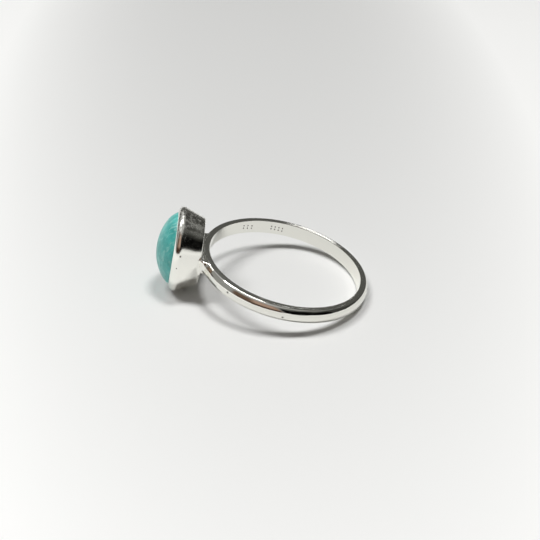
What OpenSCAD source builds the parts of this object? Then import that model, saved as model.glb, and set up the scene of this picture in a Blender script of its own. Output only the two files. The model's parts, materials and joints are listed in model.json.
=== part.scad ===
// Finger ring with an oval cabochon in a tapered bezel cup, lying on its side on a flat surface.
// Millimetres. +Z is up, the cup lies towards -X, and the origin is under the middle of the ring's box.
//
// The ring is built in its own frame first: the finger hole runs along Z, its centre is the origin,
// and the cup grows towards -X. The last step lays it on the surface, where it rests on the cup's rim
// and on the far lower edge of the shank.
//
// The cup and the stone are turned as rounds across their short width, and then stretched along the
// finger into an oval.

/* [Finger hole] */
// Inside diameter of the shank
finger_d = 17.3; // [14:0.1:22]

/* [Shank] */
// Width of the shank along the finger
shank_w = 1.6; // [1.4:0.1:2.4]
// Thickness of the shank at its flat sides
side_t = 0.7; // [0.6:0.05:0.8]
// Thickness of the shank at the middle of its rounded crown
crown_t = 1.0; // [0.9:0.05:1.2]

/* [Oval] */
// Length of the cup and the stone along the finger, over their width
oval = 1.286; // [1:0.001:1.4]

/* [Cup] */
// Depth by which the shank's crown is let into the cup's back plate
let_in = 0.165; // [0.1:0.005:0.25]
// Width of the cup at its back
back_d = 6.13; // [6:0.01:6.6]
// Width of the cup at its rim
rim_d = 7.7; // [7.5:0.01:8.2]
// Radius of the rim, where it is rolled over the stone
rim_r = 0.65; // [0.55:0.005:0.7]
// Height of the middle of the rim's round over the cup's back
rim_h = 2.3; // [2.1:0.01:2.6]
// Thickness of the back plate
back_t = 0.5; // [0.4:0.05:0.7]
// Width of the hollow under the stone
hollow_d = 5.3; // [4:0.1:5.5]
// Angle by which the cup nods along the finger, as it was soldered
nod = 3.8; // [0:0.1:6]

/* [Solder] */
// Radius of the hollow end of each solder fillet
fillet_r = 0.14; // [0.1:0.01:0.16]

/* [Stone] */
// Height of the stone's flat base over the cup's back
base_h = 1.3; // [1:0.05:1.5]
// Height of the stone's top over the cup's back
top_h = 4.9; // [4.6:0.01:5.3]
// Width of the stone's base
base_d = 6.1; // [5.7:0.1:6.3]
// Width of the stone at its widest, under the rim
girdle_d = 6.78; // [6.6:0.01:6.9]
// Radius of the dome over the middle of the stone
dome_r = 4.02; // [3.8:0.01:4.6]
// Radius of the dome's shoulder
shoulder_r = 2; // [1.6:0.05:2.4]
// Gap between the stone and the metal
seat_gap = 0.04; // [0.02:0.01:0.06]

/* [Hidden] */

inner_r = finger_d / 2;
side_r = inner_r + side_t;
outer_r = inner_r + crown_t;
// The crown's arc runs through the outer edges of both sides and the middle of the crown
crown_rise = crown_t - side_t;
crown_arc_r = (pow(crown_rise, 2) + pow(shank_w / 2, 2)) / (2 * crown_rise);

// Distance of the cup's back from the middle of the finger hole
back_x = outer_r - let_in;
// The rim's round is a circle at this radius, and the cup's wall is a cone that runs into it
rim_c = rim_d / 2 - rim_r;
rim_offset = [rim_h, rim_c - back_d / 2];
wall_angle = atan2(rim_offset.y, rim_offset.x) + asin(rim_r / norm(rim_offset));

// The dome's large arc turns into its shoulder without a kink, which sets the shoulder's centre
dome_c = top_h - dome_r;
shoulder_c = girdle_d / 2 - shoulder_r;
shoulder_h = dome_c + sqrt(pow(dome_r - shoulder_r, 2) - pow(shoulder_c, 2));
meet_angle = atan2(shoulder_h - dome_c, shoulder_c);

// How far a circle of radius r, stretched with the oval, reaches at this lean from its long way
function reach_of(r, lean) = r * norm([oval * cos(lean), sin(lean)]);

// Laid down, the rim's round and the shank's lower edge touch the surface together. Their heights
// are equal at the turn for which across * sin(turn) - drop * cos(turn) is the reach of the rim's
// round. That reach hardly changes with the turn, so a few rounds find it.
across = back_x + side_r + rim_h * cos(nod) - oval * rim_c * sin(nod);
drop = oval * rim_c * cos(nod) + rim_h * sin(nod) - shank_w / 2;
function settled(turn, rounds) =
    rounds == 0 ? turn
    : settled(atan2(drop, across) + asin(reach_of(rim_r, turn - nod) / norm([across, drop])), rounds - 1);
turn = settled(nod, 8);
hole_z = side_r * sin(turn) + shank_w / 2 * cos(turn);

// The ends of the laid-down ring along X, from the middle of the finger hole
far_x = (outer_r - crown_arc_r) * cos(turn) + crown_arc_r;
near_x = -(back_x + dome_c * cos(nod)) * cos(turn) - dome_c * sin(nod) * sin(turn)
    - reach_of(dome_r, 90 - turn + nod);
hole_x = -(far_x + near_x) / 2;

// Greatest turn from one point of an outline's arc to the next
arc_step = 5;
$fn = 128;

// Points along an arc, without its end point, at which the next stretch of the outline starts
function arc(centre, radius, from, to) =
    let (n = ceil(abs(to - from) / arc_step))
    [for (i = [0 : n - 1]) let (a = from + (to - from) * i / n) centre + radius * [cos(a), sin(a)]];

module lay_down() {
    translate([hole_x, 0, hole_z]) rotate([0, turn, 0]) children();
}

// Puts a piece that stands on the cup's back, along Z, in its place on the shank, and stretches it
module on_cup_axis() {
    translate([-back_x, 0, 0]) rotate([0, -90 - nod, 0]) scale([oval, 1, 1]) children();
}

module shank() {
    rotate_extrude()
        intersection() {
            translate([inner_r, -shank_w / 2]) square([2 * crown_t, shank_w]);
            translate([outer_r - crown_arc_r, 0]) circle(r = crown_arc_r);
        }
}

// Half section of the stone, with its outline moved out by grow
module stone_section(grow) {
    polygon(concat(
        arc([0, dome_c], dome_r + grow, 90, meet_angle),
        arc([shoulder_c, shoulder_h], shoulder_r + grow, meet_angle, 0),
        [[girdle_d / 2 + grow, shoulder_h], [base_d / 2 + grow, base_h - grow], [0, base_h - grow]]
    ));
}

// Half section of the cup without its hollows: back, tapered wall and the round of the rim
module cup_section() {
    polygon(concat(
        [[0, 0], [back_d / 2, 0]],
        arc([rim_c, rim_h], rim_r, -wall_angle, 90),
        [[rim_c, rim_h + rim_r], [0, rim_h + rim_r]]
    ));
}

module cup() {
    on_cup_axis()
        rotate_extrude()
            difference() {
                cup_section();
                translate([0, back_t]) square([hollow_d / 2, base_h - back_t]);
                stone_section(seat_gap);
            }
}

// Solder in the two narrow wedges between the shank's crown and the cup's back plate. Each ends in a
// hollow round that touches both, cut a little deeper so that it leaves no feather edge.
module solder() {
    fill_x = back_x + back_t / 2;
    round_x = back_x - fillet_r;
    round_y = sqrt(pow(outer_r + fillet_r, 2) - pow(round_x, 2));
    deeper = 0.01;
    translate([0, 0, -shank_w / 2])
        linear_extrude(shank_w)
            difference() {
                translate([-fill_x, -round_y]) square([fill_x, 2 * round_y]);
                circle(r = inner_r + side_t / 2);
                for (side = [-1, 1])
                    translate([-round_x, side * round_y]) circle(r = fillet_r + deeper);
            }
}

module ring_mount() {
    color("silver")
        lay_down() {
            shank();
            cup();
            solder();
        }
}

module amazonite_cabochon() {
    color("mediumaquamarine")
        lay_down()
            on_cup_axis()
                rotate_extrude()
                    stone_section(0);
}

ring_mount();
amazonite_cabochon();
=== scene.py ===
# %% [markdown]
# # A silver ring with an oval amazonite
#
# A slim silver band, a tapered cup soldered to it, and a domed blue-green stone held by the cup's
# rolled rim. The ring lies on its side on a pale table. A measured model of the ring is loaded
# first, and it fixes every size and place. The cells after that make a finer version of each
# piece, give it its finish, and light it.

# %% Load the measured ring
import json
from math import asin, atan2, cos, degrees, hypot, pi, radians, sin, sqrt, tan

import bmesh
import bpy
from mathutils import Matrix, Vector, noise


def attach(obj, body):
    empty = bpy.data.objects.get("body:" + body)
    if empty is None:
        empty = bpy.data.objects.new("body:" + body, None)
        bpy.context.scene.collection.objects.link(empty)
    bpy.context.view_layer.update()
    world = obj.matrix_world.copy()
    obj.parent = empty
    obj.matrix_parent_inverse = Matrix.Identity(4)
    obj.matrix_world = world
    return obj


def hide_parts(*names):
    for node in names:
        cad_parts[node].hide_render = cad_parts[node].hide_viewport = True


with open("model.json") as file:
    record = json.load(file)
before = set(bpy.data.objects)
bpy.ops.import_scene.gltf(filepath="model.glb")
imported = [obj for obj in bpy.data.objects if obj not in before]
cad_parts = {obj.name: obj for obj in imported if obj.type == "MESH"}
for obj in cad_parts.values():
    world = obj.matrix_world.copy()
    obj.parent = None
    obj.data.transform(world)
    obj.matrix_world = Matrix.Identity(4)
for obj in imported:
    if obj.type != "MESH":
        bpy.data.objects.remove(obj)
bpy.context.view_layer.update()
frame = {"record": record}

# %% [markdown]
# ## Camera
#
# The photograph was taken by hand with a long lens, a little to the left of the ring and about 32
# degrees above the table, with the camera slightly rolled. Blender's camera looks along its own -Z,
# so the three columns of its matrix are its right, its up and its backward direction.

# %% Camera
MM = 0.001
CAMERA_AZIMUTH, CAMERA_ELEVATION, CAMERA_ROLL = radians(-3.337), radians(32.116), radians(2.3)
CAMERA_AIM = Vector((0.795, -0.099, 2.372)) * MM
CAMERA_DISTANCE = 105.77 * MM


def towards(azimuth, elevation):
    """Direction that looks away from the ring: azimuth 0 is the camera's side, 90 is +X."""
    return Vector((sin(azimuth) * cos(elevation), -cos(azimuth) * cos(elevation), sin(elevation)))


back = towards(CAMERA_AZIMUTH, CAMERA_ELEVATION)
level = Vector((cos(CAMERA_AZIMUTH), sin(CAMERA_AZIMUTH), 0))
right = level * cos(CAMERA_ROLL) + back.cross(level) * sin(CAMERA_ROLL)
up = back.cross(right)
camera_data = bpy.data.cameras.new("camera")
camera_data.sensor_width, camera_data.lens = 36, 62.96
camera_data.clip_start, camera_data.clip_end = 0.005, 20
camera = bpy.data.objects.new("camera", camera_data)
bpy.context.scene.collection.objects.link(camera)
camera.matrix_world = Matrix.Translation(CAMERA_AIM + back * CAMERA_DISTANCE) @ Matrix(
    (right, up, back)).transposed().to_4x4()
bpy.context.scene.camera = camera
print("camera at", [round(number / MM, 1) for number in camera.matrix_world.translation], "mm")

# %% [markdown]
# ## Colours and node helpers
#
# Colours are easiest to judge as they look on a screen, but Blender's nodes want them linear. One
# small helper converts them. The others keep the node cells short: one adds a node with its
# settings, one adds a step of arithmetic, and one starts a node group with named sockets.

# %% Helpers for colours and nodes
bpy.context.scene.view_settings.view_transform = "Standard"
NUMBER, VECTOR = "NodeSocketFloat", "NodeSocketVector"


def screen(*colour):
    """Linear colour of a red, green and blue as they look on the screen, from 0 to 1."""
    return tuple(c / 12.92 if c <= 0.04045 else ((c + 0.055) / 1.055) ** 2.4 for c in colour) + (1,)


def add(tree, kind, inputs=None, **settings):
    """Adds a node. Each input is a value, or the output socket that feeds it."""
    node = tree.nodes.new(kind)
    for name, value in settings.items():
        setattr(node, name, value)
    for key, value in (inputs or {}).items():
        if isinstance(value, bpy.types.NodeSocket):
            tree.links.new(value, node.inputs[key])
        else:
            node.inputs[key].default_value = value
    return node


def maths(tree, operation, *values):
    """Adds a Math node and returns its output."""
    return add(tree, "ShaderNodeMath", dict(enumerate(values)), operation=operation).outputs[0]


def new_group(name, inputs, outputs):
    """Starts a shader node group; returns it with its input and output nodes."""
    group = bpy.data.node_groups.new(name, "ShaderNodeTree")
    for socket, (kind, value) in inputs.items():
        made = group.interface.new_socket(socket, in_out="INPUT", socket_type=kind)
        if value is not None:
            made.default_value = value
    for socket, kind in outputs.items():
        group.interface.new_socket(socket, in_out="OUTPUT", socket_type=kind)
    return group, group.nodes.new("NodeGroupInput"), group.nodes.new("NodeGroupOutput")


# %% [markdown]
# ## The room that the silver mirrors
#
# Polished silver has hardly a colour of its own: it shows the room. The room here is a studio with
# large soft cards round the table: brown and black ones on the camera's side, grey ones to the left,
# to the right and behind, and a pale ceiling. Real cards would stand in the picture, so each one is
# a soft-edged patch of the world's sky instead, cut out by its directions.

# %% Soft card group
card_group, card_in, card_out = new_group(
    "soft_card",
    {"Azimuth": (NUMBER, 0), "Elevation": (NUMBER, 0), "From": (NUMBER, -10), "To": (NUMBER, 10),
     "Low": (NUMBER, 0), "High": (NUMBER, 10), "Edge": (NUMBER, 2)},
    {"Mask": NUMBER})


def soft_step(angle, limit, rising):
    """1 on one side of a card's limit and 0 on the other, with a smooth change between."""
    here, middle, softness = (card_in.outputs[name] for name in (angle, limit, "Edge"))
    step = add(card_group, "ShaderNodeMapRange",
               {"Value": here, "From Min": maths(card_group, "SUBTRACT", middle, softness),
                "From Max": maths(card_group, "ADD", middle, softness),
                "To Min": 0 if rising else 1, "To Max": 1 if rising else 0},
               interpolation_type="SMOOTHSTEP")
    return step.outputs["Result"]


sideways = maths(card_group, "MULTIPLY", soft_step("Azimuth", "From", True),
                 soft_step("Azimuth", "To", False))
upright = maths(card_group, "MULTIPLY", soft_step("Elevation", "Low", True),
                soft_step("Elevation", "High", False))
card_group.links.new(maths(card_group, "MULTIPLY", sideways, upright), card_out.inputs["Mask"])
print("soft card group of", len(card_group.nodes), "nodes")

# %% Cards
# azimuth from and to, elevation from and to, softness of the edge, all in degrees, and the colour
# on the screen; a later card covers an earlier one
CARDS = {
    "left wall": (-190, -62, -20, 43, 5, (0.57, 0.57, 0.56)),
    "left back wall": (-192, -126, -20, 30, 5, (0.36, 0.36, 0.35)),
    "low brown box": (-130, -100, -20, 11, 4, (0.16, 0.09, 0.07)),
    "brown card": (-64, 3, -20, 45, 4, (0.40, 0.33, 0.28)),
    "tan panel": (-34, 1, 13, 42, 6, (0.66, 0.56, 0.50)),
    "brown foot": (-60, 2, -20, 10, 3, (0.22, 0.14, 0.10)),
    "grey card": (5, 74, -20, 45, 4, (0.37, 0.37, 0.36)),
    "tall black card": (6, 51, 1.5, 33, 3, (0.02, 0.02, 0.02)),
    "dark card": (45, 74, 8, 30, 5, (0.17, 0.17, 0.16)),
    "low black card": (45, 70, 1.5, 23, 3, (0.02, 0.02, 0.02)),
    "right wall": (71, 152, -20, 44, 4, (0.24, 0.24, 0.23)),
    "back card": (150, 190, -20, 60, 4, (0.33, 0.33, 0.32)),
    "back shelf": (150, 190, 29.7, 34, 1.2, (0.43, 0.43, 0.42)),
    "back window": (160.3, 163.2, 21, 26, 0.3, (1.3, 1.3, 1.3)),
}
CEILING_LEFT, CEILING_RIGHT = screen(0.72, 0.72, 0.72), screen(0.62, 0.62, 0.61)
print(len(CARDS), "cards")

# %% [markdown]
# ## World
#
# The world shows three things to three kinds of ray. The silver's mirror rays see the cards. Rays
# that light a dull surface, such as the table, see the same cards dimmed, because the lamps should
# make the shadows and the room should hardly fill them. Camera rays see a plain pale backdrop.

# %% World
DIMMED = 0.57
BACKDROP = screen(0.93, 0.93, 0.925)

world = bpy.data.worlds.new("studio")
bpy.context.scene.world = world
world.use_nodes = True
sky = world.node_tree
sky.nodes.clear()
look = add(sky, "ShaderNodeSeparateXYZ", {"Vector": add(sky, "ShaderNodeTexCoord").outputs["Generated"]})
azimuth = maths(sky, "MULTIPLY", degrees(1), maths(
    sky, "ARCTAN2", look.outputs["X"], maths(sky, "MULTIPLY", look.outputs["Y"], -1)))
elevation = maths(sky, "MULTIPLY", degrees(1), maths(sky, "ARCSINE", look.outputs["Z"]))
ceiling = add(sky, "ShaderNodeMapRange",
              {"Value": azimuth, "From Min": -40, "From Max": 60, "To Min": 0, "To Max": 1},
              interpolation_type="SMOOTHSTEP")
mixed = add(sky, "ShaderNodeMix", {"Factor": ceiling.outputs["Result"]}, data_type="RGBA")
mixed.inputs["A"].default_value, mixed.inputs["B"].default_value = CEILING_LEFT, CEILING_RIGHT
for name, (az_from, az_to, low, high, edge, colour) in CARDS.items():
    card = add(sky, "ShaderNodeGroup", node_tree=card_group, label=name)
    for key, value in {"Azimuth": azimuth, "Elevation": elevation}.items():
        sky.links.new(value, card.inputs[key])
    for key, value in {"From": az_from, "To": az_to, "Low": low, "High": high, "Edge": edge}.items():
        card.inputs[key].default_value = value
    below = mixed.outputs["Result"]
    mixed = add(sky, "ShaderNodeMix", {"Factor": card.outputs["Mask"], "A": below}, data_type="RGBA")
    mixed.inputs["B"].default_value = screen(*colour)

path = add(sky, "ShaderNodeLightPath")
dimmer = maths(sky, "SUBTRACT", 1.0, maths(sky, "MULTIPLY", path.outputs["Is Diffuse Ray"], DIMMED))
studio = add(sky, "ShaderNodeBackground", {"Color": mixed.outputs["Result"], "Strength": dimmer})
backdrop = add(sky, "ShaderNodeBackground", {"Color": BACKDROP, "Strength": 1.0})
world_mix = add(sky, "ShaderNodeMixShader", {
    0: path.outputs["Is Camera Ray"], 1: studio.outputs[0], 2: backdrop.outputs[0]})
add(sky, "ShaderNodeOutputWorld", {"Surface": world_mix.outputs[0]})
print("studio of", len(sky.nodes), "nodes")

# %% [markdown]
# ## Lamps
#
# Two panels overhead make nearly all the light, one on either side of the ring's middle and in line
# with its length. Across the ring they are narrow, so the shadows of the near and the far half of
# the band are crisp. Along the ring they stand apart, so a slanting stretch of the band casts two
# fainter shadows. The silver mirrors the panel on the stone's side, and next to it a bright sheet
# that lights nothing: together they are the bright mark on the cup's rim and the unbroken white
# line along the band's near edge. The panel on the far side stays out of the mirror.

# %% Lamps
LAMP_DISTANCE, LAMP_WIDTH, LAMP_COLOUR = 0.6, 0.12, (1.0, 1.0, 0.99)
# degrees of lean from overhead towards the stone, length in metres, energy in watts, whether the
# silver mirrors it, and whether it lights the dull surfaces
PANELS = {
    "panel_stone_side": (23, 0.26, 1.86, True, True),
    "panel_far_side": (-10, 0.13, 1.60, False, True),
    "bright_sheet": (2.5, 0.16, 1.1, True, False),
}
across_ring = Vector((0, -1, 0))
for name, (lean, length, energy, mirrored, lights) in PANELS.items():
    lamp_data = bpy.data.lights.new(name, "AREA")
    lamp_data.shape, lamp_data.size, lamp_data.size_y = "RECTANGLE", LAMP_WIDTH, length
    lamp_data.energy, lamp_data.color = energy, LAMP_COLOUR
    lamp = bpy.data.objects.new(name, lamp_data)
    lamp.visible_glossy, lamp.visible_diffuse = mirrored, lights
    bpy.context.scene.collection.objects.link(lamp)
    lamp_way = towards(radians(-90), radians(90 - lean))
    lamp.matrix_world = Matrix.Translation(lamp_way * LAMP_DISTANCE) @ Matrix(
        (across_ring, lamp_way.cross(across_ring), lamp_way)).transposed().to_4x4()
    print(name, "at", [round(number, 2) for number in lamp.matrix_world.translation], "m")

# %% [markdown]
# ## Table
#
# One pale sheet. It is much larger than the picture, because the lower half of every polished
# surface mirrors it, out to the horizon. Its colour holds painted light: painted shade near the
# ring that rises to painted light away from it, for the light's falloff. The distance from a point
# behind the ring, which grows faster sideways than away from the camera, mixes the painted shade
# near the ring into the painted light far from it.

# %% Table finish with painted light falloff
TONE_MIDDLE, TONE_SHAPE = (0.0012, 0.095, 0), (1 / 3.3, 1, 1)
TONE_REACH, TONE_CURVE = 0.15, 3.0
# the table's colour is painted shade near the ring and painted light far from it, for the light's falloff
PAINTED_SHADE_NEAR, PAINTED_LIGHT_FAR = (0.69, 0.692, 0.688, 1), (0.97, 0.972, 0.967, 1)


def new_material(name):
    """Empty node material with a Principled shader that feeds its output."""
    material = bpy.data.materials.new(name)
    material.use_nodes = True
    tree = material.node_tree
    tree.nodes.clear()
    shader = add(tree, "ShaderNodeBsdfPrincipled")
    add(tree, "ShaderNodeOutputMaterial", {"Surface": shader.outputs[0]})
    return material, tree, shader


table_material, tree, shader = new_material("pale_table")
oval_place = add(tree, "ShaderNodeMapping", {
    "Vector": add(tree, "ShaderNodeTexCoord").outputs["Object"], "Location": TONE_MIDDLE,
    "Scale": TONE_SHAPE}, vector_type="TEXTURE").outputs[0]
distance = add(tree, "ShaderNodeVectorMath", {0: oval_place}, operation="LENGTH").outputs["Value"]
share = maths(tree, "MINIMUM", maths(tree, "DIVIDE", distance, TONE_REACH), 1.0)
# mixes the painted shade near the ring into the painted light further out
painted_falloff = add(tree, "ShaderNodeMix", {"Factor": maths(tree, "POWER", share, TONE_CURVE)}, data_type="RGBA")
painted_falloff.inputs["A"].default_value, painted_falloff.inputs["B"].default_value = PAINTED_SHADE_NEAR, PAINTED_LIGHT_FAR
tree.links.new(painted_falloff.outputs["Result"], shader.inputs["Base Color"])
shader.inputs["Roughness"].default_value = 0.55
shader.inputs["Specular IOR Level"].default_value = 0.2
print("table finish of", len(tree.nodes), "nodes")

# %% Table
TABLE_HALF = 3
bm = bmesh.new()
bmesh.ops.create_grid(bm, x_segments=1, y_segments=1, size=TABLE_HALF)
table_mesh = bpy.data.meshes.new("table")
bm.to_mesh(table_mesh)
bm.free()
table = bpy.data.objects.new("table", table_mesh)
bpy.context.scene.collection.objects.link(table)
table_mesh.materials.append(table_material)
print("table", 2 * TABLE_HALF, "m wide")

# %% [markdown]
# ## The ring's own frame
#
# A jeweller thinks of a ring as a round about the finger, not as it happens to lie. So each piece is
# made in millimetres about the finger hole's axis, and laid down at the end. The measured model's
# record gives the hole's place, radius and lean. The cup and stone have one more frame: they
# are made as rounds standing on the cup's back, stretched along the finger into ovals, and turned
# onto the band.

# %% Frames
hole = frame["record"]["mounts"][0]
HOLE_AT = Vector(hole["pos_m"])
LEAN = atan2(hole["axis"][0], hole["axis"][2])
INNER_R = hole["dims"]["r_mm"]
HALF_WIDTH, SIDE_T, CROWN_T = 0.8, 0.65, 1.0
SIDE_R, OUTER_R = INNER_R + SIDE_T, INNER_R + CROWN_T
LET_IN, NOD, OVAL = 0.165, radians(3.8), 1.286
BACK_X = OUTER_R - LET_IN

lay_down = Matrix.Translation(HOLE_AT) @ Matrix.Rotation(LEAN, 4, "Y") @ Matrix.Scale(MM, 4)
onto_band = Matrix.Translation((-BACK_X, 0, 0)) @ Matrix.Rotation(-pi / 2 - NOD, 4, "Y")
stretch = Matrix.Diagonal((OVAL, 1, 1, 1))
print("the ring leans by", round(degrees(LEAN), 2), "degrees about a hole of radius", INNER_R, "mm")

# %% [markdown]
# ## Turning a piece
#
# The band, the cup and the stone are all turned on a lathe or a mandrel, so each starts as one half
# section and is spun. A full spin needs use_merge to close its seam. Points on the axis
# become one point at each pole, and sharp edges get a small bevel, because no real edge is
# perfectly sharp and it is the bevel that catches the light. The last helper is an even climb
# from 0 to 1, for everything on the ring that comes in gradually.

# %% Helpers for turned pieces
# an edge that turns by more than SHARP is bevelled; one that turns by SHADED_SHARP is shaded sharp
SHARP, SHADED_SHARP = radians(25), radians(40)


def arc(centre, radius, start, end, steps):
    """Points along an arc in a section, both ends included; angles in degrees."""
    angles = [radians(start + (end - start) * i / steps) for i in range(steps + 1)]
    return [(centre[0] + radius * cos(a), centre[1] + radius * sin(a)) for a in angles]


def spun(section, steps, closed):
    """Spins a half section of (radius, height) points about Z."""
    bm = bmesh.new()
    chain = [bm.verts.new((radius, 0, height)) for radius, height in section]
    edges = [bm.edges.new(pair) for pair in zip(chain, chain[1:])]
    if closed:
        edges.append(bm.edges.new((chain[-1], chain[0])))
    bmesh.ops.spin(bm, geom=chain + edges, cent=(0, 0, 0), axis=(0, 0, 1), angle=2 * pi,
                   steps=steps, use_merge=True)
    bmesh.ops.remove_doubles(bm, verts=bm.verts, dist=1e-5)
    bmesh.ops.recalc_face_normals(bm, faces=bm.faces)
    return bm


def soften(bm, chosen, width, segments):
    """Bevels the sharp edges whose middle is chosen."""
    sharp = [edge for edge in bm.edges if edge.is_manifold and edge.calc_face_angle() > SHARP
             and chosen((edge.verts[0].co + edge.verts[1].co) / 2)]
    bmesh.ops.bevel(bm, geom=sharp, offset=width, offset_type="OFFSET", affect="EDGES",
                    segments=segments, profile=0.5, material=-1)
    return len(sharp)


def as_object(bm, name, matrix):
    """Puts a piece in its place, in metres, and makes it a smooth-shaded object."""
    bmesh.ops.transform(bm, matrix=matrix, verts=bm.verts)
    bmesh.ops.recalc_face_normals(bm, faces=bm.faces)
    for face in bm.faces:
        face.smooth = True
    for edge in bm.edges:
        edge.smooth = edge.is_manifold and edge.calc_face_angle() < SHADED_SHARP
    mesh = bpy.data.meshes.new(name)
    bm.to_mesh(mesh)
    closed = all(edge.is_manifold for edge in bm.edges)
    bm.free()
    piece = bpy.data.objects.new(name, mesh)
    bpy.context.scene.collection.objects.link(piece)
    print(name, "has", len(mesh.polygons), "faces, closed" if closed else "faces, OPEN")
    return piece


def climb(value, start, length):
    """0 up to the start, then an even climb to 1 over the length, and 1 from there on."""
    return min(max((value - start) / length, 0), 1)


# %% [markdown]
# ## Band
#
# The band is flat inside and at its sides, and its outside is a low crown: under half a
# millimetre of rise over its width. The inner edges are eased for comfort and the outer ones are
# nearly crisp, which gives the thin bright line along the near side. Both kinds are the section's
# corners with a bevel of their own width, and an extra point beside each keeps the flat faces'
# shading flat up to it.

# %% Band
INNER_BEVEL, OUTER_BEVEL = 0.03, 0.035
BESIDE_INNER, BESIDE_OUTER = 0.06, 0.12
BAND_STEPS, CROWN_STEPS = 384, 16

crown_r = ((CROWN_T - SIDE_T) ** 2 + HALF_WIDTH ** 2) / (2 * (CROWN_T - SIDE_T))
crown_c = OUTER_R - crown_r
crown_reach = degrees(asin(HALF_WIDTH / crown_r))
flat_side = [(INNER_R, HALF_WIDTH - BESIDE_INNER), (INNER_R, HALF_WIDTH),
             (INNER_R + BESIDE_INNER, HALF_WIDTH), (SIDE_R - BESIDE_OUTER, HALF_WIDTH)]
band_section = [(radius, -height) for radius, height in flat_side] + arc(
    (crown_c, 0), crown_r, -crown_reach, crown_reach, CROWN_STEPS) + flat_side[::-1]
bm = spun(band_section, BAND_STEPS, closed=True)
mid_side = (INNER_R + SIDE_R) / 2
soften(bm, lambda p: hypot(p.x, p.y) > mid_side, OUTER_BEVEL, 3)
soften(bm, lambda p: hypot(p.x, p.y) < mid_side, INNER_BEVEL, 2)
band = as_object(bm, "band", lay_down)

# %% [markdown]
# ## Cup
#
# The cup is a tapered wall on a back plate, and its thick rim is rolled over the stone. Its
# half section runs from the middle of the back, round the outside and over the rim, down along the
# stone, and back to the middle under it. The stone's own sizes come first, because the seat is the
# stone's outline with a small gap.

# %% Sizes of the cup and the stone
BACK_R, RIM_R, RIM_H, RIM_C = 3.065, 0.62, 2.40, 3.23
BASE_H, TOP_H, BASE_R, GIRDLE_R, DOME_R, SHOULDER_R = 1.3, 4.9, 3.05, 3.39, 4.02, 2.0
BACK_T, HOLLOW_R, BACK_BEVEL = 0.5, 2.65, 0.06
SIDE_GAP, BASE_GAP = 0.02, 0.03

wall_angle = atan2(RIM_C - BACK_R, RIM_H) + asin(RIM_R / hypot(RIM_H, RIM_C - BACK_R))
dome_c = TOP_H - DOME_R
shoulder_c = GIRDLE_R - SHOULDER_R
shoulder_h = dome_c + sqrt((DOME_R - SHOULDER_R) ** 2 - shoulder_c ** 2)
meet_angle = degrees(atan2(shoulder_h - dome_c, shoulder_c))
print("the wall leans out by", round(degrees(wall_angle), 1), "degrees")

# %% Cup section
RIM_END, RIM_STEPS, CUP_STEPS = 86, 24, 224
rim = arc((RIM_C, RIM_H), RIM_R, -degrees(wall_angle), RIM_END, RIM_STEPS)
foot_of_wall, top_of_wall = Vector((BACK_R, 0)), Vector(rim[0])
back_plate = [(radius, 0) for radius in (0, 1.2, 2.2, 2.9, 2.98)]
wall = [tuple(foot_of_wall.lerp(top_of_wall, i / 20)) for i in (0, 1, 2, 4, 6, 8, 10, 12, 14, 16, 18)]
seat = arc((shoulder_c, shoulder_h), SHOULDER_R + SIDE_GAP, 15, 0, 4) + [
    (BASE_R + BASE_GAP, BASE_H - BASE_GAP)]
hollow = [(HOLLOW_R, BASE_H - BASE_GAP), (HOLLOW_R, BACK_T), (0, BACK_T)]
bm = spun(back_plate + wall + rim + seat + hollow, CUP_STEPS, closed=False)
bevelled = soften(bm, lambda p: p.z < 0.01 and hypot(p.x, p.y) > 2.8, BACK_BEVEL, 4)
bmesh.ops.transform(bm, matrix=stretch, verts=bm.verts)
print("cup back bevelled on", bevelled, "edges")

# %% [markdown]
# ## The hand's unevenness
#
# A hand filed the wall and rolled the rim, so neither is a perfect turned shape. A slow noise moves
# the wall in and out by a few hundredths of a millimetre, and the rim up and down. On the camera's
# side the lip also stands a tenth of a millimetre higher, and is pressed in a little.

# %% Uneven cup
WALL_FROM, RIM_FROM = 0.2, 2.45
WALL_WAVE, WALL_IN, RIM_WAVE = 0.03, 0.012, 0.02
LIP_MIDDLE, LIP_PACE, LIP_END = -0.35, 1.35, 1.16
LIP_RISE, LIP_PRESSED = 0.11, 0.035
for vert in bm.verts:
    across, height = hypot(vert.co.x / OVAL, vert.co.y), vert.co.z
    outward = Vector((vert.co.x, vert.co.y, 0)).normalized()
    if height > WALL_FROM and across > 3.1:
        slow = noise.noise(vert.co * 0.45 + Vector((3, 1, 7)))
        vert.co += outward * (WALL_WAVE * slow - WALL_IN) * climb(height, WALL_FROM, 0.8)
    if height > RIM_FROM and across > 3.25:
        from_lip = atan2(vert.co.x / OVAL, -vert.co.y) - LIP_MIDDLE
        near_lip = cos(from_lip * LIP_PACE) if abs(from_lip) < LIP_END else 0
        worked = climb(height, RIM_FROM, 0.4)
        vert.co.z += (LIP_RISE * near_lip + RIM_WAVE * noise.noise(vert.co * 0.8)) * worked
        vert.co -= outward * LIP_PRESSED * near_lip * worked
cup = as_object(bm, "cup", lay_down @ onto_band)

# %% [markdown]
# ## Stone
#
# The stone is an oval cabochon: a flat base, a narrow girdle that the rim holds, a quick shoulder
# and a calm dome. It is spun from two arcs that meet without a kink. Cabochons are ground by hand
# on a wheel, so the dome drifts from a true shape by about a hundredth of a millimetre.

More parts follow.
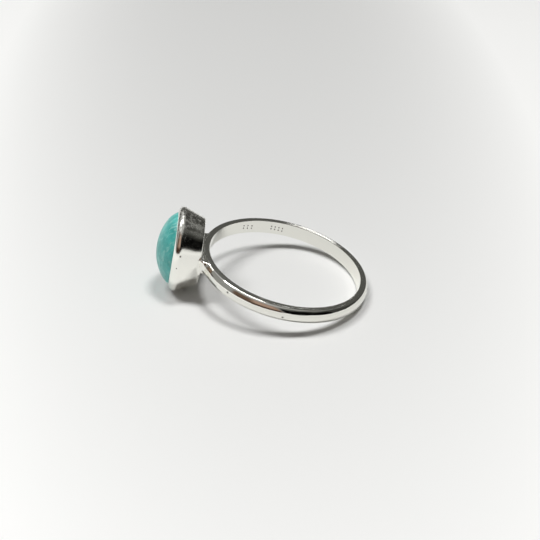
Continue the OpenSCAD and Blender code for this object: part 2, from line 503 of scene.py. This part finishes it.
# %% Stone
STONE_STEPS, BASE_BEVEL = 192, 0.12
DOME_FROM, DOME_WAVE, DOME_LOWER = 3, 0.02, 0.012
stone_section = [(0, BASE_H), (BASE_R, BASE_H)] + arc(
    (shoulder_c, shoulder_h), SHOULDER_R, 0, meet_angle, 16) + arc(
    (0, dome_c), DOME_R, meet_angle, 90, 26)[1:]
bm = spun(stone_section, STONE_STEPS, closed=False)
soften(bm, lambda p: p.z < BASE_H + 0.05, BASE_BEVEL, 3)
bmesh.ops.transform(bm, matrix=stretch, verts=bm.verts)
for vert in bm.verts:
    drift = DOME_WAVE * noise.noise(vert.co * 0.5) * climb(vert.co.z, DOME_FROM, 0.8)
    vert.co.z += drift - DOME_LOWER * climb(vert.co.z, DOME_FROM, 1)
stone = as_object(bm, "amazonite", lay_down @ onto_band)

# %% [markdown]
# ## Solder
#
# Solder fills the narrow wedges between the round band and the flat back of the cup, and draws
# itself into a smooth hollow where it ends. On the camera's side it also runs down the back plate
# in a small foot under the band. That shape is a blend of surfaces, so it is made from their
# distances: the soft minimum of two distances is a surface that leaves one and joins the other
# without a corner. Three surfaces are blended: the band, the cup, and the filling between them.

# %% Soft minimum and the cup's surface
def soft_min(a, b, width):
    """Lesser of two distances, with a hollow of this width where they cross."""
    overlap = max(width - abs(a - b), 0) / width
    return min(a, b) - overlap * overlap * width / 4


def soft_max(a, b, width):
    """Greater of two distances, with a round of this width where they cross."""
    return -soft_min(-a, -b, width)


def outside_cup(p):
    """Distance outside the cup's cone and back plate."""
    x, y, z = p.x + BACK_X, p.y, p.z
    height = -x * cos(NOD) - z * sin(NOD)
    along = -x * sin(NOD) + z * cos(NOD)
    wall_out = (hypot(y, along / OVAL) - BACK_R - height * tan(wall_angle)) * cos(wall_angle)
    return soft_max(wall_out, -height, 0.08)


# %% The filling's surface
FAR_END, FAR_HOLLOW_R = 9.35, 0.35
# the near end is a plane that faces this way in x and y, and curls away above and below
NEAR_X, NEAR_Y, NEAR_AT, CURL_UP, CURL_DOWN = -0.34, -0.94, 6.36, 0.15, 0.34
FOOT_REACH, FOOT_HEIGHT = 0.85, 0.26
# widths of the joints on the far side, and how much wider they grow on the near side
JOINT_TO_BAND, JOINT_TO_CUP = (0.08, 0.32), (0.13, 0.25)


def filling_end(p):
    """Distance past the filling's end: a hollow round on the far side, a leaning plane on the near."""
    if p.y > 0:
        middle_x, middle_rho = FAR_HOLLOW_R - BACK_X, FAR_END + FAR_HOLLOW_R
        middle_y = sqrt(middle_rho ** 2 - middle_x ** 2)
        return max(FAR_HOLLOW_R - hypot(p.x - middle_x, p.y - middle_y), p.y - middle_y)
    curl = CURL_UP * max(p.z, 0) ** 3 + CURL_DOWN * max(-p.z, 0) ** 1.3
    return NEAR_X * p.x + NEAR_Y * p.y - NEAR_AT + curl


def filling_side(p):
    """Distance past the filling's flat side, which spreads into a foot under the band."""
    side = abs(p.z) - HALF_WIDTH
    if p.z >= 0:
        return side
    above_plate = (p.x + BACK_X) * cos(NOD) + p.z * sin(NOD)
    foot = 1 - climb(above_plate, 0, FOOT_HEIGHT)
    reach = FOOT_REACH * climb(-p.y, 1.6, 1)
    return (side - reach * foot ** 2) / hypot(1, 2 * reach * foot / FOOT_HEIGHT)


def outside_filling(p):
    """Distance outside the wedges' filling."""
    side_width = 0.03 + 0.09 * climb(-p.y, 2.2, 0.8)
    return soft_max(soft_max(filling_end(p), -p.x - BACK_X - 0.05, 0.1), filling_side(p), side_width)


def outside_metal(p):
    """Below zero inside the band, the solder or the cup, with the joints between them blended."""
    crown = hypot(p.x, p.y) - crown_c - sqrt(max(crown_r ** 2 - p.z ** 2, 0.01))
    near = climb(-p.y, 1.5, 1.5) * max(climb(p.z, -0.8, 0.6), 0.15)
    band_out = soft_max(crown, abs(p.z) - HALF_WIDTH, 0.03)
    at_band, at_cup = (least + more * near for least, more in (JOINT_TO_BAND, JOINT_TO_CUP))
    return soft_min(soft_min(band_out, outside_filling(p), at_band), outside_cup(p), at_cup)


# %% [markdown]
# ## Laying a skin over the joint
#
# The solder's piece starts as a ring of tube round the joint, and each of its points is moved
# outwards from the joint's middle until it lies on the blended surface. A search finds the place:
# long strides until the point is out of the metal, then halving. At both borders the skin dives a
# hair under the band's and the cup's own skins, and the rest of the tube is hidden in the metal.

# %% Loops round the joint
# near reach, far reach and half width along the finger, in millimetres
CORE_BAND, CORE_CUP = (2.6, 2.2, 0.30), (2.4, 2.2, 0.50)
TO_BAND, TO_CORNER, TO_CUP = (5.3, 3.9, 0.85), (4.3, 3.1, 0.90), (3.8, 3.3, 1.12)


def joint_loop(turn, reaches, x):
    """Point of a rounded oblong round the joint."""
    near_reach, far_reach, half_width = reaches
    y = sqrt(abs(cos(turn))) * (far_reach if cos(turn) > 0 else -near_reach)
    z = sqrt(abs(sin(turn))) * (1 if sin(turn) > 0 else -1) * half_width
    return Vector((x, y, z))


def joint_loops(turn):
    """Two core points in the metal, and three that steer the skin from the band to the cup."""
    at_end = abs(cos(turn)) ** 3
    at_near = at_end if cos(turn) < 0 else 0
    under = climb(-cos(turn), 0.15, 0.3) if sin(turn) < 0 else 0
    to_band = joint_loop(turn, TO_BAND, 0)
    to_band.x = -sqrt((9.15 + 0.57 * at_end) ** 2 - to_band.y ** 2)
    to_corner = joint_loop(turn, TO_CORNER, -9.42 + 0.02 * at_end + 0.1 * at_near)
    to_cup = joint_loop(turn, TO_CUP, -9.54 - 0.14 * at_end - 0.5 * at_near)
    to_corner.z *= 1 + 0.4 * under
    to_cup.z *= 1 + 0.7 * under
    cores = joint_loop(turn, CORE_BAND, -9.20), joint_loop(turn, CORE_CUP, -9.64)
    return *cores, to_band, to_corner, to_cup


# %% Solder
ROUND, ACROSS, HIDDEN = 256, 40, 4
PROUD, DIVE, BORDER = 0.004, 0.024, 0.1
STRIDE, FARTHEST, HALVINGS = 0.05, 1.6, 14


def solder_point(turn, step):
    """Point of the tube: on the joint's surface, or inside the metal for the hidden part."""
    core_band, core_cup, to_band, to_corner, to_cup = joint_loops(turn)
    if step >= ACROSS:
        part = (step - ACROSS + 1) / (HIDDEN + 1)
        inside = core_cup.lerp(core_band, part)
        return inside + (to_cup.lerp(to_band, part) - inside) * 0.1
    s = step / (ACROSS - 1)
    core = core_band.lerp(core_cup, s)
    way = to_band * (1 - s) ** 2 + to_corner * 2 * s * (1 - s) + to_cup * s ** 2 - core
    level = PROUD - DIVE * max(1 - s / BORDER, 1 - (1 - s) / BORDER, 0)
    low, high = 0.0, STRIDE
    while outside_metal(core + way * high) < level and high < FARTHEST:
        low, high = high, high + STRIDE
    for _ in range(HALVINGS):
        middle = (low + high) / 2
        if outside_metal(core + way * middle) < level:
            low = middle
        else:
            high = middle
    return core + way * low


bm = bmesh.new()
bmesh.ops.create_circle(bm, segments=ACROSS + HIDDEN, radius=0.3,
                        matrix=Matrix.Translation((1, 0, 0)) @ Matrix.Rotation(pi / 2, 4, "X"))
bmesh.ops.spin(bm, geom=bm.verts[:] + bm.edges[:], cent=(0, 0, 0), axis=(0, 0, 1), angle=2 * pi,
               steps=ROUND, use_merge=True)
for vert in bm.verts:
    turn = atan2(vert.co.y, vert.co.x)
    round_tube = atan2(vert.co.z, hypot(vert.co.x, vert.co.y) - 1) % (2 * pi)
    vert.co = solder_point(turn, round(round_tube / (2 * pi) * (ACROSS + HIDDEN)) % (ACROSS + HIDDEN))
solder = as_object(bm, "solder", lay_down)

# %% [markdown]
# ## Silver
#
# The silver is a mirror first: fully metallic, a little warm, with very low roughness. What makes it
# real is what its polish left: a slow waviness that bends the reflections, fine lines that run round
# the band, and dull specks, thickest on the cup's wall. The same wear shows on the band and the cup in
# different amounts, so it is one node group with a value for each.

# %% Wear group
LINES_PER_MM, LINES_PER_RADIAN = 7.0, 4.0
wear, wear_in, wear_out = new_group(
    "polish_and_wear",
    {"Place": (VECTOR, None), "Wave": (NUMBER, 0.3), "Wave Size": (NUMBER, 0.4), "Dimples": (NUMBER, 0.2),
     "Dimple Size": (NUMBER, 2.0), "Lines": (NUMBER, 0.02), "Specks": (NUMBER, 0.1)},
    {"Height": NUMBER, "Roughness": NUMBER})
worn_place = wear_in.outputs["Place"]


def wear_noise(place, size, detail, rough):
    """Noise from 0 to 1 whose size is counted per millimetre."""
    return add(wear, "ShaderNodeTexNoise", {"Vector": place, "Scale": size, "Detail": detail,
                                            "Roughness": rough}).outputs["Fac"]


def amount(noise_output, name):
    """Noise times the amount that the material asks for."""
    return maths(wear, "MULTIPLY", noise_output, wear_in.outputs[name])


spot = add(wear, "ShaderNodeSeparateXYZ", {"Vector": worn_place}).outputs
from_axis = maths(wear, "POWER", maths(wear, "ADD", maths(wear, "MULTIPLY", spot["X"], spot["X"]),
                                       maths(wear, "MULTIPLY", spot["Y"], spot["Y"])), 0.5)
round_axis = maths(wear, "ARCTAN2", spot["Y"], spot["X"])
along_lines = add(wear, "ShaderNodeCombineXYZ", {
    "X": maths(wear, "MULTIPLY", from_axis, LINES_PER_MM),
    "Y": maths(wear, "MULTIPLY", round_axis, LINES_PER_RADIAN),
    "Z": maths(wear, "MULTIPLY", spot["Z"], LINES_PER_MM)}).outputs[0]
waves = amount(wear_noise(worn_place, wear_in.outputs["Wave Size"], 1.0, 0.5), "Wave")
dimples = amount(wear_noise(worn_place, wear_in.outputs["Dimple Size"], 3.0, 0.55), "Dimples")
lines = amount(wear_noise(along_lines, 1.0, 2.0, 0.5), "Lines")
wear.links.new(maths(wear, "ADD", maths(wear, "ADD", waves, dimples), lines), wear_out.inputs["Height"])
speck = add(wear, "ShaderNodeMapRange", {"Value": wear_noise(worn_place, 2.6, 5.0, 0.65),
                                         "From Min": 0.46, "From Max": 0.76, "To Min": 0.0, "To Max": 1.0})
wear.links.new(amount(speck.outputs["Result"], "Specks"), wear_out.inputs["Roughness"])
print("wear group of", len(wear.nodes), "nodes")

# %% [markdown]
# ## Pits and punch dots
#
# Casting left a few tiny pits, dark because polish can't reach into them. Inside the band there are
# two rows of plain punch dots. Each is only a tenth of a millimetre or so across, far finer than the
# mesh, so it is a round dent in the shading: a mask from the distance to its middle lowers the
# surface and dulls it.

# %% Dent group
dent, dent_in, dent_out = new_group("dent", {"Place": (VECTOR, None), "Middle": (VECTOR, None),
                                             "Radius": (NUMBER, 0.1)}, {"Mask": NUMBER})
away = add(dent, "ShaderNodeVectorMath", {0: dent_in.outputs["Place"], 1: dent_in.outputs["Middle"]},
           operation="DISTANCE").outputs["Value"]
bowl = add(dent, "ShaderNodeMapRange", {"Value": away, "From Min": dent_in.outputs["Radius"], "From Max": 0.0,
                                        "To Min": 0.0, "To Max": 1.0}, interpolation_type="SMOOTHSTEP")
dent.links.new(bowl.outputs["Result"], dent_out.inputs["Mask"])
print("dent group of", len(dent.nodes), "nodes")

# %% Places of the dents
# each dent is its middle and its radius in millimetres, each punch dot its angle and its height
CUP_DENTS = [((-11.825, -3.705, 1.185), 0.14), ((-11.969, -3.816, -0.313), 0.10), ((-10.75, -3.3, 1.9), 0.10)]
BAND_DENTS = [((-6.467, -7.162, 0.004), 0.21), ((-0.597, -9.608, -0.239), 0.21)]
PUNCH_DOTS = ((121.5, 0.05), (117.8, 0.0), (114.1, -0.05),
              (97.5, 0.02), (94.5, 0.0), (91.5, -0.02), (88.5, -0.04))
ROW_GAP, DOT_R = 0.17, 0.12
for row in (-1, 1):
    for angle, middle in PUNCH_DOTS:
        on_wall = (INNER_R * cos(radians(angle)), INNER_R * sin(radians(angle)), middle + ROW_GAP * row)
        BAND_DENTS.append((on_wall, DOT_R))
print(len(BAND_DENTS), "dents on the band,", len(CUP_DENTS), "on the cup")

# %% [markdown]
# ## Silver materials
#
# All three pieces are the same metal, polished to different degrees: the band best, the hand-worked
# cup with more waves and specks, mostly on its upper wall, and the solder between them. The cup
# and the stone lean with the ring, so every pattern is placed in the ring's own millimetres.

# %% Helpers for the silver
def ring_millimetres(tree):
    """Place on the ring in its own frame, in millimetres about the finger hole's axis."""
    return add(tree, "ShaderNodeMapping", {
        "Vector": add(tree, "ShaderNodeTexCoord").outputs["Object"], "Location": HOLE_AT,
        "Rotation": (0, LEAN, 0), "Scale": (MM, MM, MM)}, vector_type="TEXTURE").outputs[0]


def dent_marks(tree, place, dents):
    """Mask of all these dents: 1 in the middle of each, and 0 outside them."""
    marks = 0.0
    for middle, radius in dents:
        mark = add(tree, "ShaderNodeGroup", node_tree=dent)
        tree.links.new(place, mark.inputs["Place"])
        mark.inputs["Middle"].default_value, mark.inputs["Radius"].default_value = middle, radius
        marks = maths(tree, "MAXIMUM", marks, mark.outputs["Mask"])
    return marks


# %% Silver material
POLISHED, BRIGHT, DULL = (0.86, 0.855, 0.80, 1), (0.93, 0.925, 0.87, 1), (0.12, 0.115, 0.10, 1)
RELIEF = 0.1 * MM
DENT_DEPTH, DENT_ROUGH = 0.5, 0.3
WORN_OVER, WORN_ROUGH, WORN_LEAST = 1.2, 0.03, 0.1


def silver(name, tint, amounts, dents, roughness, worn_from=None):
    """Polished silver with wear and dents; the wear can start at a height."""
    material, tree, shader = new_material(name)
    shader.inputs["Metallic"].default_value = 1.0
    shader.inputs["Base Color"].default_value = tint
    place = ring_millimetres(tree)
    worn = add(tree, "ShaderNodeGroup", node_tree=wear)
    tree.links.new(place, worn.inputs["Place"])
    for key, value in amounts.items():
        worn.inputs[key].default_value = value
    if worn_from is not None:
        height = add(tree, "ShaderNodeSeparateXYZ", {"Vector": place}).outputs["Z"]
        share = add(tree, "ShaderNodeMapRange", {
            "Value": height, "From Min": worn_from, "From Max": worn_from + WORN_OVER,
            "To Min": WORN_LEAST, "To Max": 1.0}).outputs["Result"]
        for key in ("Dimples", "Specks"):
            tree.links.new(maths(tree, "MULTIPLY", share, amounts[key]), worn.inputs[key])
        roughness = maths(tree, "ADD", maths(tree, "MULTIPLY", share, WORN_ROUGH), roughness)
    marks = dent_marks(tree, place, dents)
    if dents:
        dulled = add(tree, "ShaderNodeMix", {"Factor": marks}, data_type="RGBA")
        dulled.inputs["A"].default_value, dulled.inputs["B"].default_value = tint, DULL
        tree.links.new(dulled.outputs["Result"], shader.inputs["Base Color"])
    height = maths(tree, "SUBTRACT", worn.outputs["Height"], maths(tree, "MULTIPLY", marks, DENT_DEPTH))
    bump = add(tree, "ShaderNodeBump", {"Height": height, "Distance": RELIEF, "Strength": 1.0})
    tree.links.new(bump.outputs[0], shader.inputs["Normal"])
    rough = maths(tree, "ADD", maths(tree, "ADD", worn.outputs["Roughness"], roughness),
                  maths(tree, "MULTIPLY", marks, DENT_ROUGH))
    tree.links.new(rough, shader.inputs["Roughness"])
    return material


# %% Silver on the pieces
band_silver = silver("polished_silver", POLISHED, {
    "Wave": 0.10, "Wave Size": 0.35, "Dimples": 0.02, "Dimple Size": 2.2, "Lines": 0.07, "Specks": 0.08},
    BAND_DENTS, 0.045)
cup_silver = silver("hand_worked_silver", BRIGHT, {
    "Wave": 0.22, "Wave Size": 0.5, "Dimples": 0.08, "Dimple Size": 1.7, "Lines": 0.0, "Specks": 0.5},
    CUP_DENTS, 0.09, worn_from=2.4)
solder_silver = silver("soldered_silver", POLISHED, {
    "Wave": 0.12, "Wave Size": 0.5, "Dimples": 0.07, "Dimple Size": 2.6, "Lines": 0.0, "Specks": 0.3},
    [], 0.09)
for piece, material in ((band, band_silver), (cup, cup_silver), (solder, solder_silver)):
    piece.data.materials.append(material)
    print(piece.name, "is made of", material.name)

# %% [markdown]
# ## Amazonite
#
# Amazonite is an opaque feldspar. Its blue-green comes in cloudy patches, with paler threads where
# white feldspar has grown through it. Under a soft polish the light goes a little way in, so the
# colour glows rather than sits on the surface. The patches are a cloudy noise, the threads are the
# peaks of a stretched one, and a little subsurface scattering gives the depth.

# %% Clouds and threads
DEEP, PALE, THREAD = screen(0.16, 0.58, 0.56), screen(0.40, 0.78, 0.755), screen(0.72, 0.88, 0.85)
stone_material, tree, shader = new_material("amazonite")
place = ring_millimetres(tree)
clouds = add(tree, "ShaderNodeTexNoise", {"Vector": place, "W": 2.0, "Scale": 0.45, "Detail": 8.0,
                                          "Roughness": 0.62, "Distortion": 0.4}, noise_dimensions="4D")
cloudy = add(tree, "ShaderNodeValToRGB", {"Fac": clouds.outputs["Fac"]})
deep_end, pale_end = cloudy.color_ramp.elements
deep_end.position, deep_end.color = 0.36, DEEP
pale_end.position, pale_end.color = 0.68, PALE
threads = add(tree, "ShaderNodeTexNoise", {
    "Vector": add(tree, "ShaderNodeMapping", {"Vector": place, "Rotation": (0.5, 0.2, 0.9),
                                              "Scale": (0.5, 2.2, 0.7)}).outputs[0],
    "Scale": 1.5, "Detail": 6.0, "Roughness": 0.65, "Distortion": 0.8})
thread_mask = add(tree, "ShaderNodeMapRange", {
    "Value": threads.outputs["Fac"], "From Min": 0.52, "From Max": 0.72, "To Min": 0.0, "To Max": 0.6})
paler = add(tree, "ShaderNodeMix", {"Factor": thread_mask.outputs["Result"]}, data_type="RGBA")
tree.links.new(cloudy.outputs["Color"], paler.inputs["A"])
paler.inputs["B"].default_value = THREAD
tree.links.new(paler.outputs["Result"], shader.inputs["Base Color"])

# %% Amazonite polish
skin = add(tree, "ShaderNodeTexNoise", {"Vector": place, "Scale": 3.0, "Detail": 4.0})
skin_bump = add(tree, "ShaderNodeBump", {
    "Height": skin.outputs["Fac"], "Distance": 0.01 * MM, "Strength": 1.0})
tree.links.new(skin_bump.outputs[0], shader.inputs["Normal"])
for key, value in {"Roughness": 0.33, "IOR": 1.53, "Subsurface Weight": 0.25,
                   "Subsurface Radius": (0.35, 0.8, 0.75), "Subsurface Scale": 1.0 * MM}.items():
    shader.inputs[key].default_value = value
stone.data.materials.append(stone_material)
print(stone.name, "is made of", stone_material.name, "of", len(tree.nodes), "nodes")

# %% [markdown]
# ## The ring's body
#
# Every piece rides on the ring's one body, and the measured part that it stands for is hidden.

# %% Pieces on the ring's body
for piece, node, slot in ((band, "ring_mount", "silver"), (cup, "ring_mount", "silver"),
                          (solder, "ring_mount", "silver"), (stone, "amazonite_cabochon", "amazonite")):
    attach(piece, "root")
    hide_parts(node)
